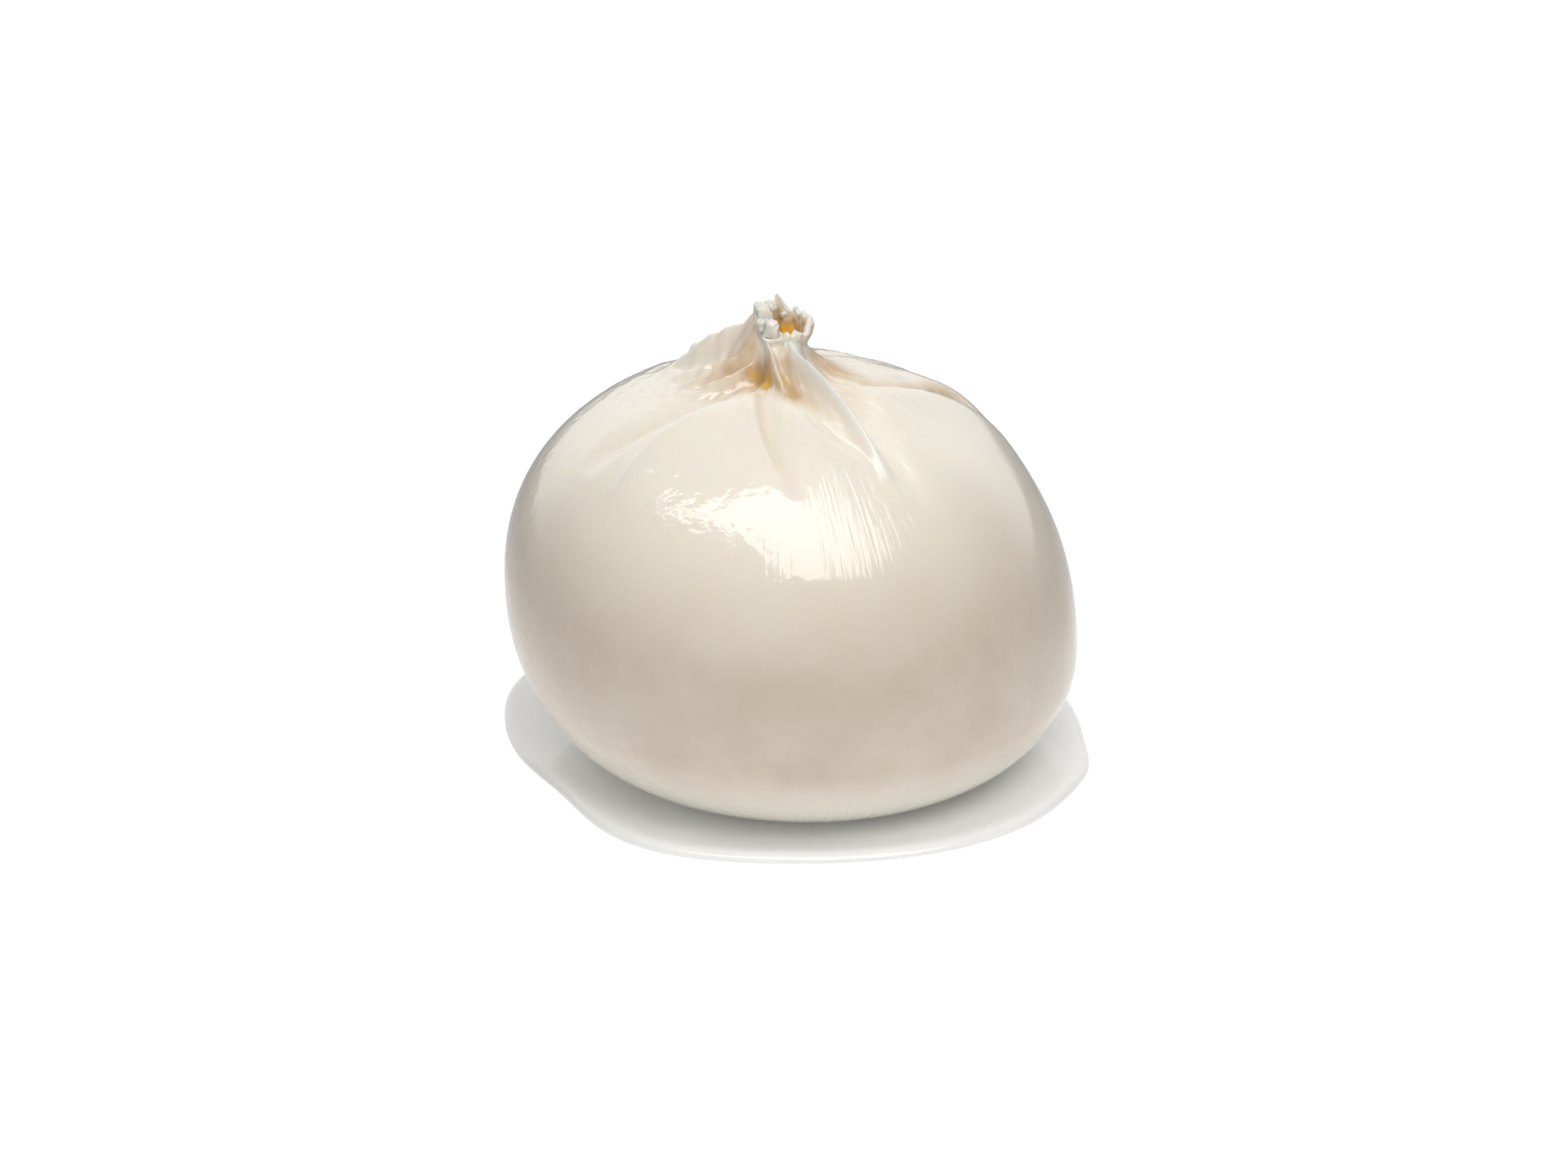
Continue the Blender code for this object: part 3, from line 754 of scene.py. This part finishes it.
# The light is a level panel over the cheese that narrows to the left, its outline in metres.
PANEL_HEIGHT = 0.7
PANEL_OUTLINE = [
    (-0.56, -0.04), (-0.22, -0.10), (0.04, -0.02), (0.45, -0.17), (0.55, -0.31),
    (0.48, -0.66), (0.04, -0.72), (-0.10, -0.38), (-0.26, -0.28),
]
PANEL_STRENGTH = 4.3
panel_mesh = bpy.data.meshes.new("light_panel")
panel_corners = [(x, y, PANEL_HEIGHT) for x, y in PANEL_OUTLINE]
panel_mesh.from_pydata(panel_corners, [], [range(len(panel_corners))])
light_panel = bpy.data.objects.new("light_panel", panel_mesh)
bpy.context.collection.objects.link(light_panel)
glowing, tree, shader = new_material("glowing_panel")
shader.inputs["Base Color"].default_value = (0, 0, 0, 1)
shader.inputs["Emission Color"].default_value = (1, 0.985, 0.96, 1)
shader.inputs["Emission Strength"].default_value = PANEL_STRENGTH
panel_mesh.materials.append(glowing)

# The surround's brightness, by the direction from the cheese, whose X and Y run from -1 to 1. Its
# left is brighter than its right, and seen directly it is plain white.
SEEN_WHITE = (0.93, 0.93, 0.93, 1)
world = bpy.data.worlds.new("white_surround")
world.use_nodes = True
tree = world.node_tree
away = add_node(tree, "SeparateXYZ", {"Vector": add_node(tree, "TexCoord").outputs["Generated"]})
front = map_range(tree, away.outputs["Y"], -0.9, 0.1, 0.46, 0.10)
left = map_range(tree, away.outputs["X"], -0.8, 0.8, 1.4, 0.6)
front = add_node(tree, "Math", {0: front, 1: left}, operation="MULTIPLY").outputs[0]
behind = map_range(tree, away.outputs["Y"], 0.45, 0.72, 0.0, 0.9)
glow = add_node(tree, "Math", {0: front, 1: behind}, operation="ADD").outputs[0]
seen = add_node(tree, "LightPath").outputs["Is Camera Ray"]
tree.links.new(mix_colour(tree, seen, glow, SEEN_WHITE), tree.nodes["Background"].inputs["Color"])
bpy.context.scene.world = world
bpy.context.scene.view_settings.view_transform = "Standard"

# ---------------------------------------------------------------------------------------------
# The camera: a long lens, a little above the cheese.
# ---------------------------------------------------------------------------------------------

# The point that it looks at, in metres, then its angle above that point and its distance from it.
AIM_X, AIM_Z = -0.00128, 0.02727
elevation, distance = math.radians(24), 0.75
camera = bpy.data.objects.new("camera", bpy.data.cameras.new("camera"))
camera.data.sensor_width, camera.data.lens = 36, 107.3
camera.data.clip_start, camera.data.clip_end = 0.05, 20
camera.location = (AIM_X, -distance * math.cos(elevation), AIM_Z + distance * math.sin(elevation))
camera.rotation_euler = (math.pi / 2 - elevation, 0, 0)
bpy.context.collection.objects.link(camera)
bpy.context.scene.camera = camera
